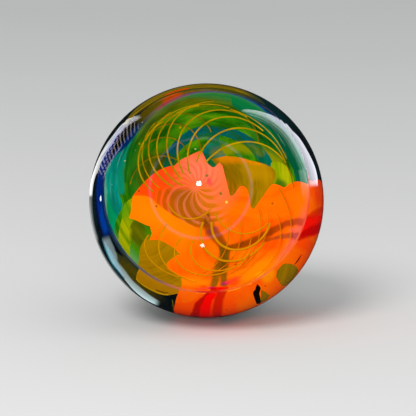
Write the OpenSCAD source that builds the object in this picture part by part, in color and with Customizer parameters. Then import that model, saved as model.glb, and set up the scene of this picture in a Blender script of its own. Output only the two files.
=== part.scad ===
// Glass marble: a clear lens fused onto a ball of dark glass, with a bowl of coloured glass
// between them and a vortex of fine yellow threads in the clear glass.
// The origin is the middle of the ball, and the face looks along -Y, tipped up by face_tilt.
// Inside the face's own frame, +Z comes out of the face, X is to the right and Y is up.

/* [Ball] */
// Diameter of the marble
ball_d = 44; // [32:1:60]
// Angle that the face is tipped up from level
face_tilt = 20; // [0:1:60]

/* [Clear lens] */
// Angle from the middle of the face to the seam round it
seam_angle = 58; // [46:1:70]
// Depth of the bowl's deepest point behind the middle of the ball
bowl_depth = 3.8; // [1:0.1:7]

/* [Coloured glass] */
// Thickness of the colours that line the bowl
lining_t = 0.9; // [0.5:0.1:1.5]
// Thickness of the colours on the outside of the ball
skin_t = 0.8; // [0.4:0.1:1.5]
// Thickness of the violet rim that lies against the lens
rim_t = 0.4; // [0.2:0.05:0.5]
// Depth of the violet rim, measured from the seam along the face's axis
rim_depth = 2.4; // [1:0.1:4]
// Reach of the petals' round ends behind the middle of the ball
petal_back = 7; // [3:0.5:10]

/* [Threads] */
// Diameter of most threads
thread_d = 0.2; // [0.16:0.02:0.3]
// Diameter of the two bold threads
bold_d = 0.32; // [0.24:0.02:0.4]
// Diameter of the fine threads
fine_d = 0.14; // [0.1:0.02:0.24]
// Clear glass between the bowl and the middle of the lowest far threads
far_cover = 0.5; // [0.4:0.05:0.8]
// Distance from the lowest far threads to the lowest near threads
layer_gap = 0.9; // [0.8:0.1:1.5]
// Distance from one level of a layer to the next, which lets the threads cross
level_gap = 0.4; // [0.36:0.02:0.5]

/* [Hidden] */
$fn = 180;
ball_r = ball_d / 2;
seam_r = ball_r * sin(seam_angle);
seam_z = ball_r * cos(seam_angle);
// The bowl is a sphere through the seam and its deepest point
bowl_h = seam_z + bowl_depth;
bowl_r = (bowl_h * bowl_h + seam_r * seam_r) / (2 * bowl_h);
bowl_z = bowl_r - bowl_depth;
// The bowl's floor, with its lining, as seen from behind the ball's middle
floor_depth = bowl_depth + 2 * lining_t;
floor_r = sqrt(pow(bowl_r + 2 * lining_t, 2) - bowl_z * bowl_z);
// Drawings of the colours are in hundredths of the seam's radius, seen square on to the face
unit = seam_r / 100;
// Pieces that are cut through reach past the ball by this share of its radius
past = 1.5;
// Steps between two points of a drawn curve
steps = 3;
// Middle of the vortex, in the units of the drawings
eye = [-7, 11];
// Each thread: middle and radius of its circle in the units of the drawings,
// bearing of its start, sweep, level and diameter
near_rows = [
    [[-18.6, 30.8], 30.5, -242, 119, 2, thread_d],
    [[-9.2, 36.1], 35.5, -216, 89, 0, fine_d],
    [[-4.8, 38.6], 35.4, -232, 114, 1, thread_d],
    [[-0.1, 38.1], 34.1, -261, 144, 2, thread_d],
    [[11.1, 37.7], 37.9, -263, 125, 0, thread_d],
    [[13.8, 32.6], 33.4, -300, 148, 1, thread_d],
    [[20.2, 26.2], 33.6, -313, 149, 2, thread_d],
    [[25.7, 14.7], 35.1, 20, 141, 0, thread_d],
    [[28, -1.4], 41.2, 45, 93, 1, thread_d],
    [[27.4, 2.8], 24.9, -156, 107, 1, thread_d],
    [[24.4, -13.8], 21.9, 177, 172, 2, bold_d],
    [[20.2, -19.3], 24.5, 161, 170, 0, bold_d],
    [[10.2, -33.7], 21.2, 148, 203, 1, thread_d],
    [[1.2, -39.1], 23.9, 140, 178, 2, thread_d],
    [[3.2, -34.3], 36.7, 143, 112, 0, thread_d],
    [[-20.5, -41.5], 26.2, 139, 125, 1, thread_d],
    [[-10.4, 6.1], 16.1, -157, 123, 0, thread_d],
    [[0.2, 25.9], 47.5, 69, 91, 3, fine_d],
    [[4.2, 6.1], 60.7, 22, 55, 2, fine_d]
];
far_rows = [
    [[22, 2.6], 41.1, 8, 40, 0, fine_d],
    [[-29.1, 6.5], 24.2, 58, 109, 0, fine_d],
    [[-29.2, 23.2], 20.2, 20, 136, 1, fine_d],
    [[-24.7, 31.2], 21.9, 5, 164, 0, fine_d],
    [[-20.1, 36.6], 25, 21, 119, 1, fine_d],
    [[8.7, 42], 25.7, -6, 88, 0, fine_d],
    [[-27.4, -15.7], 44.4, -63, 74, 1, fine_d],
    [[-15.7, -17.9], 38.8, -66, 77, 0, fine_d],
    [[-1.5, -21.9], 31.6, -67, 83, 1, fine_d],
    [[-11.5, -14.9], 47.7, -42, 58, 0, fine_d],
    [[-5.1, -13.7], 46.7, -61, 72, 1, fine_d],
    [[-4, -30.2], 57.1, -64, 89, 0, fine_d],
    [[-15.8, -24.8], 83.9, -27, 59, 0, fine_d]
];

// One point of a smooth curve between p1 and p2, at t from 0 to 1
function between(p0, p1, p2, p3, t) =
    0.5 * (2 * p1 + (p2 - p0) * t + (2 * p0 - 5 * p1 + 4 * p2 - p3) * t * t
    + (3 * p1 - p0 - 3 * p2 + p3) * t * t * t);

// A smooth open curve through all of the points
function curve(p) = [
    for (i = [0 : len(p) - 2], s = [0 : (i == len(p) - 2 ? steps : steps - 1)])
        between(p[max(i - 1, 0)], p[i], p[i + 1], p[min(i + 2, len(p) - 1)], s / steps)
];

// Curves joined end to end, with a corner where one meets the next
function outline(runs) = [for (run = runs) each curve(run)];

// A drawing, in the plane of the face
module drawing(runs) scale(unit) polygon(outline(runs));

// A wall of the drawn shape, right through the ball along the face's axis
module wall() linear_extrude(height = 2 * past * ball_r, center = true) children();

// The same, but only in front of the ball's middle
module front_wall() linear_extrude(height = past * ball_r) children();

// A wall of the drawn shape, from the middle of the ball out through its skin.
// The drawing's X runs away from the seam, and its Y runs round it.
module skin_wall(bearing, past_seam, runs)
    rotate([0, 0, bearing]) rotate([0, seam_angle + past_seam, 0])
        linear_extrude(height = past * ball_r) drawing(runs);

module ball() sphere(r = ball_r);

module bowl(extra = 0) translate([0, 0, bowl_z]) sphere(r = bowl_r + extra);

module under_skin() sphere(r = ball_r - skin_t);

// The layer of colours between the lens and the dark glass
module lining() difference() {
    intersection() { ball(); bowl(lining_t); }
    bowl();
}

// The layer of colours on the outside of the ball, behind the seam
module skin() difference() {
    ball();
    under_skin();
    bowl(lining_t);
}

// Both layers, which meet at the seam
module coat() difference() {
    ball();
    bowl();
    difference() { under_skin(); bowl(lining_t); }
}

// The front of the ball and the whole bowl
module front() {
    cylinder(h = past * ball_r, r = past * ball_r);
    translate([0, 0, -floor_depth]) cylinder(h = past * ball_r, r = floor_r);
}

// Where a petal may lie: the front, and a round end on the back of the ball
module reach(bearing, end_r) {
    front();
    rotate([0, 0, bearing]) translate([ball_r, 0, end_r - petal_back]) sphere(r = end_r);
}

// The violet rim, against the lens and near the seam
module rim_region() intersection() {
    bowl(rim_t);
    translate([0, 0, seam_z - rim_depth]) cylinder(h = past * ball_r, r = past * ball_r);
}

module upper_petal_drawing() drawing([
    [[-20, 18], [-21, 23], [-17, 28], [-11, 31], [-4, 34], [-2, 32]],
    [[1, 26], [4, 24], [6, 25], [8, 27]],
    [[10, 25], [13, 13], [15, 6], [17, 4]],
    [[12, 1], [6, 1], [-1, 7], eye, [-12, 12], [-17, 14]]
]);

module left_petal_drawing() drawing([
    [[-12, 21], [-19, 25], [-29, 22.5], [-37, 17], [-44, 10], [-49, 4]],
    [[-50, -1], [-51, -7], [-53, -11]],
    [[-47, -12], [-41, -14], [-37, -15]],
    [[-36, -20], [-38, -25]],
    [[-31, -24], [-23, -28], [-17, -34]],
    [[-20, -35], [-26, -41], [-28, -47], [-24, -51]],
    [[-18, -54], [-19, -68], [-26, -97], [-30, -106], [-38, -130]],
    [[4, -130], [5, -98], [10, -50], [13, -29], [4, -12], [-7, 12]]
]);

module right_petal_drawing() drawing([
    [[-6, 14], [10, 13], [24, 14], [33, 6], [38, 10.5], [43, 12.7], [48, 11.5], [51.5, 9.8]],
    [[52.5, 10], [58, 12.5], [66, 13], [76, 11], [88, 8.5], [104, 10], [112, 15], [130, 20]],
    [[130, -25], [98, -36], [72, -24], [50, -19], [13, -29], [4, -12]]
]);

module lower_petal_drawing() drawing([
    [[13, -29], [50, -19], [72, -25], [98, -38], [130, -30]],
    [[130, -130], [10, -130]],
    [[12, -98], [11, -50]]
]);

module upper_amber_drawing() drawing([
    [[3, 29], [7, 24], [10, 13], [13, 5]],
    [[18, 8], [21, 12], [25, 11], [27, 5], [28, -1]],
    [[30, -3], [36, 5], [41, 11], [45, 16], [45, 21], [41, 24], [36, 26], [28, 28], [21, 30], [12, 31]]
]);

module lower_amber_drawing() drawing([
    [[-20, -24], [-31, -23], [-36, -23], [-43, -27], [-47, -35], [-52, -50], [-63, -73],
     [-69, -84], [-66, -89], [-57, -95], [-47, -100], [-38, -102], [-24, -101]],
    [[-14, -60], [-12, -34]]
]);

module eye_vein_drawing() drawing([
    [[-5, 10], [-7, 2], [-8, -5], [-9, -12]],
    [[-3, -17], [4, -22], [12, -31]],
    [[16, -28], [11, -19], [8, -13], [4, -6], [0, 2], [-4, 10]]
]);

module right_vein_drawing() drawing([
    [[12, -26], [25, -24], [35, -20], [45, -16], [55, -14], [65, -14], [75, -16.5], [97, -27], [104, -24],
     [117, -14], [130, -10]],
    [[130, -46], [112, -42], [102, -43], [92, -51], [73, -39], [62, -32], [52, -26.5], [40, -27],
     [25, -29.5], [12, -31]]
]);

module right_flame_drawing() drawing([
    [[45, -21], [52, -18.5], [60, -18], [70, -19.5], [80, -23.5], [97, -36], [104, -31], [117, -22],
     [130, -18]],
    [[130, -34], [112, -33], [102, -37], [93, -43.5], [80, -37], [70, -30], [60, -24.5], [52, -22.5]]
]);

module lower_vein_drawing() drawing([
    [[10.5, -27], [8, -38], [5, -48], [2.5, -62], [-0.5, -98], [-8, -110], [-13, -120], [-16, -130]],
    [[15, -130], [14, -118], [17, -108], [20, -98], [16, -72], [14.5, -60], [13.5, -45], [15, -27]]
]);

module lower_flame_drawing() drawing([
    [[9.5, -47], [8, -57], [7.8, -72], [8.6, -98], [0, -110], [-6, -120], [-8, -130]],
    [[5, -130], [5, -118], [8, -108], [13.6, -98], [11, -72], [10.6, -57]]
]);

module veins_drawing() {
    eye_vein_drawing();
    right_vein_drawing();
    lower_vein_drawing();
}

// The amber glass that the stripes of the whorl lie in
module whorl_drawing() drawing([
    [[-5, 12], [-12, 12.5], [-19, 11], [-27, 10.5], [-34, 9.5]],
    [[-35, 5.5], [-30, 1], [-23, -4], [-16, -8.5], [-8, -12]],
    [[-4, -12], [-4, 8]]
]);

module teal_arc_drawing() {
    drawing([
        [[-28, 20], [-25, 33], [-19, 41], [-11, 47], [-1, 50], [10, 49], [20, 47], [28, 43],
         [36, 37], [42, 29], [46, 20]],
        [[40, 20], [32, 29], [25, 37], [15, 42], [5, 44], [-4, 42], [-14, 37], [-20, 28], [-20, 20]]
    ]);
    drawing([[[-3, 30], [-1, 36], [3, 46], [7, 46], [9, 36], [13, 29], [12, 22], [0, 22]]]);
}

module left_teal_drawing() drawing([
    [[-60, 54], [-54, 44], [-58, 32], [-62, 20], [-62, 7], [-58, -3], [-64, -12], [-70, -22], [-78, -40]],
    [[-130, -70], [-130, 80]]
]);

module right_teal_drawing() drawing([
    [[18, 66], [33, 54], [42, 45], [49, 36], [56, 29], [61, 21], [64, 8]],
    [[130, 8], [130, 130], [20, 130]]
]);

module left_lime_drawing() drawing([
    [[-48, 4], [-56, -2], [-60, -14], [-66, -26], [-74, -48]],
    [[-62, -52], [-56, -34], [-53, -18], [-46, -10]]
]);

module right_lime_drawing() drawing([
    [[42, 20], [42, 26], [47, 27], [53, 25], [58, 20], [61, 13], [58, 7]],
    [[50, 7], [44, 12]]
]);

module olive_band_drawing() drawing([
    [[-84, 64], [-70, 86], [-45, 102], [-20, 110], [5, 112], [30, 107], [48, 99], [60, 84]],
    [[30, 60], [-30, 60], [-80, 50]]
]);

module red_dash_drawing() drawing([
    [[-44, 84], [-44, 93], [-38, 99], [-28, 103], [-17, 104], [-22, 98], [-30, 90]]
]);

module blue_edge_drawing() drawing([
    [[-70, 70], [-86, 64], [-100, 43], [-107, 18], [-110, -6], [-107, -31], [-98, -52], [-80, -66]],
    [[-60, -40], [-60, 40]]
]);

module teal_sliver_region() skin_wall(-144, 17, [
    [[-10, -26], [-12, -10], [-10, 4], [-2, 14], [10, 20], [13, 10], [9, 0], [2, -14], [-5, -24]]
]);

module right_amber_spot_region() skin_wall(-44, 14, [
    [[-19, -9], [-20, 0], [-10, 6], [4, 10], [23, 11]],
    [[36, 0], [25, -10], [8, -13], [-12, -13]]
]);

module lower_amber_spot_region() skin_wall(-61, 18, [
    [[-14, 0], [-4, 4], [12, 7]],
    [[24, 3], [20, -4], [0, -2]]
]);

// The slit in the orange glass, where the dark glass shows
module slit_region() skin_wall(-64, 16, [
    [[-24, 4], [-14, 6], [-4, 3], [22, 3], [27, 1]],
    [[20, -2], [-10, -3], [-16, 0]]
]);

// Where each piece that reaches the skin may lie, with everything that is cut into it
module left_petal_region() intersection() { wall() left_petal_drawing(); reach(-97, 7); }
module right_petal_region() intersection() { wall() right_petal_drawing(); reach(2, 6); }
module lower_petal_region() intersection() { wall() lower_petal_drawing(); reach(-50, 13); }
module lower_amber_region() intersection() { wall() lower_amber_drawing(); front(); }
module right_vein_region() intersection() { wall() right_vein_drawing(); reach(-16, 5); }
module lower_vein_region() intersection() { wall() lower_vein_drawing(); reach(-88, 5); }

// Turns the frame of the face into the frame of the marble
module face() rotate([90 - face_tilt, 0, 0]) children();

// One thread: part of a circle on a sphere that shares its middle with the bowl
module thread(depth, middle, loop_r, start, sweep, rod_d) {
    layer_r = bowl_r - depth;
    axis_h = sqrt(layer_r * layer_r - loop_r * loop_r);
    bearing = atan2(middle[1], middle[0]);
    translate([0, 0, bowl_z])
        rotate([0, 0, bearing]) rotate([0, -asin(norm(middle) / axis_h), 0])
            translate([0, 0, -axis_h]) rotate([0, 0, start - bearing])
                rotate_extrude(angle = sweep) translate([loop_r, 0]) circle(d = rod_d, $fn = 16);
}

// One layer of threads, in as many levels as its rows name
module layer(rows, lowest)
    for (row = rows)
        thread(lowest + row[4] * level_gap, unit * row[0], unit * row[1], row[2], row[3], row[5]);

module near_layer() layer(near_rows, far_cover + layer_gap);

module far_layer() layer(far_rows, far_cover);

module clear_lens() color("LightCyan", 0.3) face() difference() {
    intersection() { ball(); bowl(); }
    near_layer();
    far_layer();
}

module near_threads() color("Gold") face() near_layer();

module far_threads() color("Goldenrod") face() far_layer();

// A pocket in the skin for a piece of coloured glass
module pocket() difference() {
    children();
    under_skin();
}

module dark_backing() color("#101816") face() difference() {
    ball();
    bowl(lining_t);
    pocket() left_petal_region();
    pocket() right_petal_region();
    pocket() difference() { lower_petal_region(); slit_region(); }
    pocket() lower_amber_region();
    pocket() right_vein_region();
    pocket() lower_vein_region();
    pocket() front_wall() olive_band_drawing();
    pocket() front_wall() blue_edge_drawing();
    pocket() teal_sliver_region();
}

module violet_rim() color("#7a5a96") face() intersection() {
    lining();
    rim_region();
}

module green_ground() color("#2f7a14") face() difference() {
    intersection() {
        lining();
        wall() difference() {
            circle(r = past * ball_r);
            whorl_drawing();
            veins_drawing();
            upper_petal_drawing();
            left_petal_drawing();
            right_petal_drawing();
            lower_petal_drawing();
            upper_amber_drawing();
            lower_amber_drawing();
            teal_arc_drawing();
            left_teal_drawing();
            right_teal_drawing();
            left_lime_drawing();
            right_lime_drawing();
        }
    }
    rim_region();
}

module teal_arc() color("#0e8a78") face() intersection() {
    lining();
    wall() difference() {
        teal_arc_drawing();
        upper_petal_drawing();
        left_petal_drawing();
        right_petal_drawing();
        upper_amber_drawing();
        right_lime_drawing();
    }
}

module left_teal() color("#0c9a8c") face() difference() {
    intersection() {
        lining();
        wall() difference() {
            left_teal_drawing();
            left_lime_drawing();
            lower_amber_drawing();
        }
    }
    rim_region();
}

module right_teal() color("#0a7a58") face() difference() {
    intersection() {
        lining();
        wall() difference() {
            right_teal_drawing();
            right_petal_drawing();
            right_lime_drawing();
        }
    }
    rim_region();
}

module left_lime() color("#a0a800") face() intersection() {
    lining();
    wall() difference() {
        left_lime_drawing();
        left_petal_drawing();
        lower_amber_drawing();
    }
}

module right_lime() color("#98a800") face() intersection() {
    lining();
    wall() difference() {
        right_lime_drawing();
        right_petal_drawing();
        upper_amber_drawing();
    }
}

module upper_petal() color("#ff7a40") face() intersection() {
    lining();
    wall() difference() {
        upper_petal_drawing();
        whorl_drawing();
        veins_drawing();
    }
}

module left_petal() color("#ff6a00") face() difference() {
    intersection() {
        coat();
        wall() difference() {
            left_petal_drawing();
            whorl_drawing();
            veins_drawing();
            upper_petal_drawing();
        }
        reach(-97, 7);
    }
    rim_region();
}

module right_petal() color("#ff8a00") face() difference() {
    intersection() {
        coat();
        wall() difference() {
            right_petal_drawing();
            whorl_drawing();
            veins_drawing();
            upper_petal_drawing();
            left_petal_drawing();
            upper_amber_drawing();
        }
        reach(2, 6);
    }
    rim_region();
}

module lower_petal() color("#ff7000") face() difference() {
    intersection() {
        coat();
        wall() difference() {
            lower_petal_drawing();
            veins_drawing();
        }
        reach(-50, 13);
    }
    rim_region();
    intersection() {
        skin();
        union() {
            right_amber_spot_region();
            lower_amber_spot_region();
            slit_region();
        }
    }
}

module upper_amber() color("#b08000") face() intersection() {
    lining();
    wall() difference() {
        upper_amber_drawing();
        upper_petal_drawing();
    }
}

module lower_amber() color("#b08000") face() difference() {
    intersection() {
        coat();
        wall() difference() {
            lower_amber_drawing();
            left_petal_drawing();
        }
        front();
    }
    rim_region();
}

module amber_whorl() color("#b8860b") face() intersection() {
    lining();
    wall() difference() {
        whorl_drawing();
        veins_drawing();
    }
}

module eye_vein() color("#7a4a10") face() intersection() {
    lining();
    wall() difference() {
        eye_vein_drawing();
        right_vein_drawing();
        lower_vein_drawing();
    }
}

module right_vein() color("#b01000") face() difference() {
    intersection() {
        coat();
        wall() difference() {
            right_vein_drawing();
            right_flame_drawing();
        }
        reach(-16, 5);
    }
    rim_region();
}

module lower_vein() color("#b01000") face() difference() {
    intersection() {
        coat();
        wall() difference() {
            lower_vein_drawing();
            lower_flame_drawing();
            right_vein_drawing();
        }
        reach(-88, 5);
    }
    rim_region();
}

module right_flame() color("#ff1500") face() difference() {
    intersection() {
        coat();
        wall() right_flame_drawing();
        reach(-16, 5);
    }
    rim_region();
}

module lower_flame() color("#ff1500") face() difference() {
    intersection() {
        coat();
        wall() lower_flame_drawing();
        reach(-88, 5);
    }
    rim_region();
}

module olive_band() color("#6e6400") face() intersection() {
    skin();
    front_wall() difference() {
        olive_band_drawing();
        red_dash_drawing();
        blue_edge_drawing();
    }
}

module red_dash() color("#b84000") face() intersection() {
    skin();
    front_wall() red_dash_drawing();
}

module blue_edge() color("#0a3a80") face() intersection() {
    skin();
    front_wall() difference() {
        blue_edge_drawing();
        lower_amber_drawing();
    }
}

module teal_sliver() color("#007080") face() difference() {
    intersection() { skin(); teal_sliver_region(); }
    front_wall() blue_edge_drawing();
}

module right_amber_spot() color("#b07800") face() intersection() {
    skin();
    right_amber_spot_region();
}

module lower_amber_spot() color("#b07800") face() difference() {
    intersection() { skin(); lower_amber_spot_region(); }
    slit_region();
}

clear_lens();
dark_backing();
violet_rim();
green_ground();
teal_arc();
left_teal();
right_teal();
left_lime();
right_lime();
upper_petal();
left_petal();
right_petal();
lower_petal();
upper_amber();
lower_amber();
amber_whorl();
eye_vein();
right_vein();
lower_vein();
right_flame();
lower_flame();
olive_band();
red_dash();
blue_edge();
teal_sliver();
right_amber_spot();
lower_amber_spot();
near_threads();
far_threads();
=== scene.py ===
"""Looks for the glass marble: a clear face over a bowl of coloured glass, with a vortex of fine threads.

Colours are painted in the face's own coordinates, in hundredths of the seam's radius: X to the right,
Y up and Z out of the face.
"""
import math

import bmesh
import bpy
from mathutils import Matrix, Vector

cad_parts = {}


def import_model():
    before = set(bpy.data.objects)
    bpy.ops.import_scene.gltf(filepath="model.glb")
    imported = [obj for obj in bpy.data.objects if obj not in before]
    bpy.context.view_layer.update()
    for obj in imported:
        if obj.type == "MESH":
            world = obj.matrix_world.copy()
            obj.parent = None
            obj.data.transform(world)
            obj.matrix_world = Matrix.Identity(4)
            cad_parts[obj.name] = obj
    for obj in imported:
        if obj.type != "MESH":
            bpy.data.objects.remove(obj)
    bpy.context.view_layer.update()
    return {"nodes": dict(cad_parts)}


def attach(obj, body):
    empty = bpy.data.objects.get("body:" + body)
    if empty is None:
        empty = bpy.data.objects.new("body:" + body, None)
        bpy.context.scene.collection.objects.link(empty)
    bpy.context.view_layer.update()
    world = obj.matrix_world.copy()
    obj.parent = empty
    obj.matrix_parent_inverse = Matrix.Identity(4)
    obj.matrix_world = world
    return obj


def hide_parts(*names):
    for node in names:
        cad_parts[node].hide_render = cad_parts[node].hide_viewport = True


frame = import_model()

# The marble's sizes, as in the solids, in metres
BALL_R = 0.022
FACE_TILT = math.radians(20)
SEAM_ANGLE = math.radians(58)
BOWL_DEPTH = 0.0038
SEAM_R = BALL_R * math.sin(SEAM_ANGLE)
SEAM_Z = BALL_R * math.cos(SEAM_ANGLE)
BOWL_H = SEAM_Z + BOWL_DEPTH
BOWL_R = (BOWL_H ** 2 + SEAM_R ** 2) / (2 * BOWL_H)
BOWL_Z = BOWL_R - BOWL_DEPTH
HUNDREDTH = SEAM_R / 100
GLASS_IOR = 1.5
TO_DEGREES = 180 / math.pi
FACE_TURN = Matrix.Rotation(math.pi / 2 - FACE_TILT, 4, "X")

# Places of the painting on the face: the eye of the vortex, and the middle of the green's brush marks
EYE = (-7, 11)
SWIRL = (2, 18)
# The stripes of the whorl and the finer curls, counted round the eye, and how fast they turn
WHORL_STRIPES = 13
EYE_CURLS = 19
EYE_TWIST = math.radians(0.15)
# How far painted edges stray, and hundredths of skin for each degree round the ball
WOBBLE = 1.2
SKIN_SCALE = 1.2
# Shares of the ball's radius: where the bowl's coordinates give way to the skin's, and what is polished
SKIN_FROM, SKIN_TO = 0.975, 0.985
POLISHED = 0.9975

# The camera: its distance, its angle above level, and where the photograph has the ball
CAMERA_D = 0.4
CAMERA_UP = math.radians(10)
PHOTO_PX = 416
BALL_PX = (206.5, 200.6)
BALL_R_PX = 117.3
SENSOR_MM = 36
VIEW_DIR = Vector((0, -math.cos(CAMERA_UP), math.sin(CAMERA_UP)))
VIEW_RIGHT = Vector((1, 0, 0))
VIEW_UP = Vector((0, math.sin(CAMERA_UP), math.cos(CAMERA_UP)))


def linear(rgb):
    """A colour given as 0 to 255 on screen, as the linear values that shaders take."""
    out = []
    for v in rgb:
        v /= 255
        out.append(v / 12.92 if v <= 0.04045 else ((v + 0.055) / 1.055) ** 2.4)
    return (*out, 1)


class Paint:
    """Builds the nodes of one material or world. Each method returns an output socket."""

    def __init__(self, tree):
        self.tree = tree
        tree.nodes.clear()

    def node(self, kind, inputs=(), out=0, **settings):
        n = self.tree.nodes.new(kind)
        for key, value in settings.items():
            setattr(n, key, value)
        for key, value in (inputs.items() if isinstance(inputs, dict) else enumerate(inputs)):
            if value is None:
                continue
            if isinstance(value, bpy.types.NodeSocket):
                self.tree.links.new(value, n.inputs[key])
            else:
                n.inputs[key].default_value = value
        return n.outputs[out] if len(n.outputs) else n

    def math(self, operation, a, b=None, c=None):
        return self.node("ShaderNodeMath", (a, b, c), operation=operation)

    def add(self, a, b):
        return self.math("ADD", a, b)

    def times(self, a, b):
        return self.math("MULTIPLY", a, b)

    def vector(self, operation, a, b=None, out=0):
        return self.node("ShaderNodeVectorMath", (a, b), out, operation=operation)

    def dot(self, a, b):
        return self.vector("DOT_PRODUCT", a, b, out="Value")

    def join(self, x, y, z=0.0):
        return self.node("ShaderNodeCombineXYZ", (x, y, z))

    def split(self, v):
        n = self.tree.nodes.new("ShaderNodeSeparateXYZ")
        self.tree.links.new(v, n.inputs[0])
        return n.outputs[0], n.outputs[1], n.outputs[2]

    def step(self, x, low, high):
        """0 where x is at low, 1 where it is at high, and smooth between them."""
        return self.node("ShaderNodeMapRange", {"Value": x, "From Min": low, "From Max": high},
                         interpolation_type="SMOOTHSTEP")

    def band(self, x, low, high, soft):
        """1 between low and high, falling off smoothly over soft on each side."""
        return self.times(self.step(x, low - soft, low + soft), self.step(x, high + soft, high - soft))

    def noise(self, v, scale=1.0, detail=2.0, rough=0.5, bend=0.0):
        return self.node("ShaderNodeTexNoise", {"Vector": v, "Scale": scale, "Detail": detail,
                                                "Roughness": rough, "Distortion": bend})

    def mix(self, share, a, b):
        """Colour a where share is 0 and colour b where it is 1."""
        n = self.tree.nodes.new("ShaderNodeMix")
        n.data_type = "RGBA"
        for socket, value in ((n.inputs["Factor"], share), (n.inputs[6], a), (n.inputs[7], b)):
            if isinstance(value, bpy.types.NodeSocket):
                self.tree.links.new(value, socket)
            else:
                socket.default_value = value if isinstance(value, float) else linear(value)
        return n.outputs[2]

    def ramp(self, x, stops):
        """A colour ramp with stops of (place, colour)."""
        n = self.tree.nodes.new("ShaderNodeValToRGB")
        self.tree.links.new(x, n.inputs[0])
        points = n.color_ramp.elements
        while len(points) < len(stops):
            points.new(0.5)
        for point, (place, colour) in zip(points, stops):
            point.position = place
            point.color = linear(colour)
        return n.outputs[0]

    def curve(self, x, points, low, high):
        """A smooth curve through points of (x, y), with y read between low and high."""
        x0, x1 = points[0][0], points[-1][0]
        n = self.tree.nodes.new("ShaderNodeFloatCurve")
        line = n.mapping.curves[0]
        while len(line.points) < len(points):
            line.points.new(0.5, 0.5)
        for p, (px, py) in zip(line.points, points):
            p.location = ((px - x0) / (x1 - x0), (py - low) / (high - low))
        n.mapping.update()
        self.tree.links.new(self.node("ShaderNodeMapRange", {"Value": x, "From Min": x0, "From Max": x1}),
                            n.inputs["Value"])
        return self.math("MULTIPLY_ADD", n.outputs[0], high - low, low)


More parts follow.
